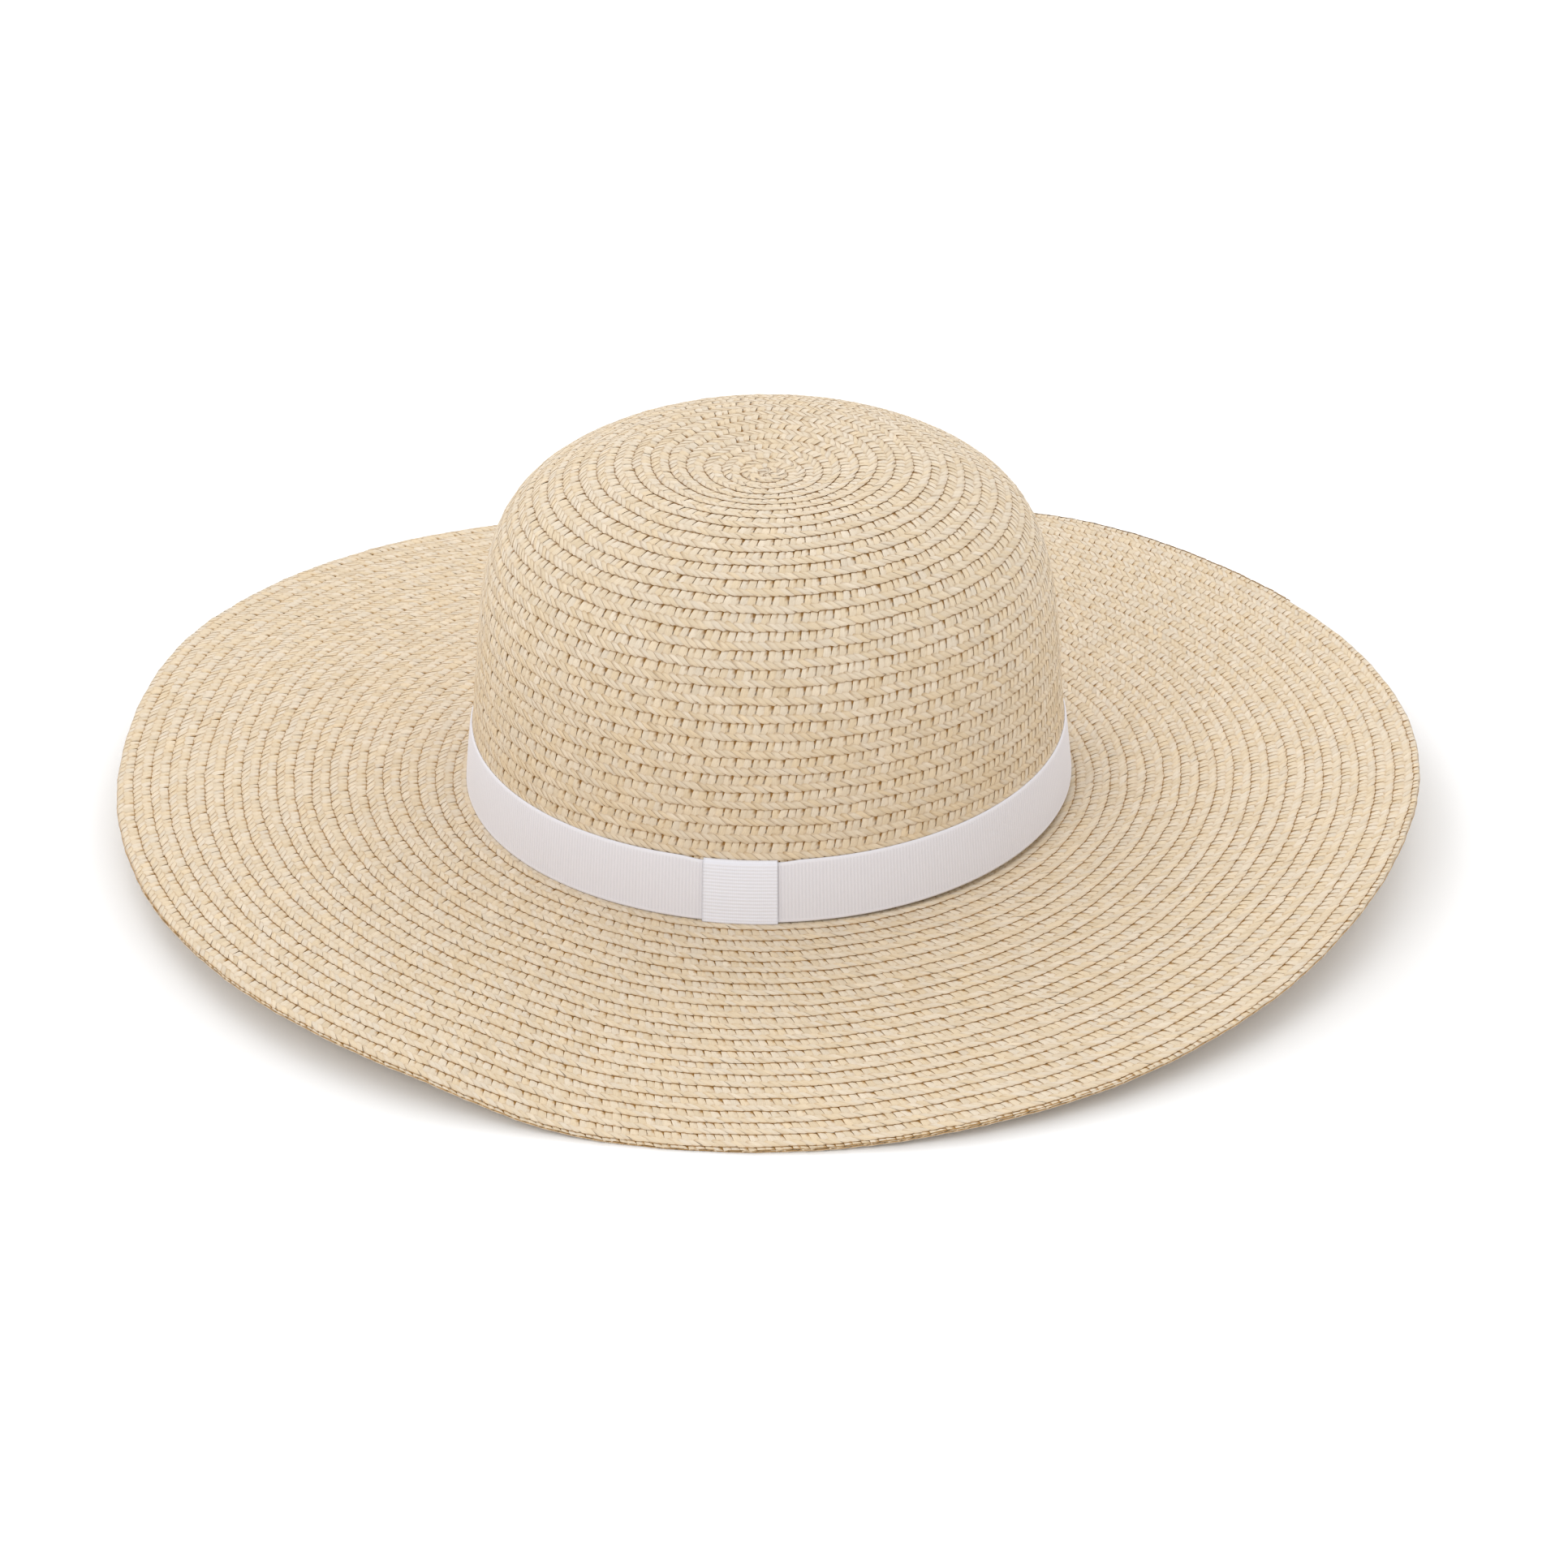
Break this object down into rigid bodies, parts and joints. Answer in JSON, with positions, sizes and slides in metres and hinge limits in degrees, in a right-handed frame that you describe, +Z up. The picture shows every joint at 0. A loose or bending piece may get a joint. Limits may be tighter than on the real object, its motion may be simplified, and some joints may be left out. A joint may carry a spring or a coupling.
{
  "type": "wide-brimmed straw sun hat",
  "caption": "Wide-brimmed sun hat of sewn straw braid with a domed crown, a gently waved brim and a grosgrain ribbon band held by a flat ribbon keeper.",
  "frame": {"origin": "on the surface the hat rests on, under the middle of its box seen from above", "axes": "+Z up through the crown, the hat's front at -Y, its right side at +X as seen from the front"},
  "size_m": [0.4134, 0.4082, 0.1147],
  "materials": {
    "straw": "natural pale straw braid, sewn in a spiral, soft satin sheen",
    "ribbon": "pale grey-beige grosgrain ribbon with fine upright ribs",
    "keeper_ribbon": "off-white grosgrain ribbon with fine level ribs"
  },
  "bodies": {
    "root": {"crown": "straw", "brim": "straw", "hat_band": "ribbon", "band_keeper": "keeper_ribbon"}
  },
  "joints": []
}
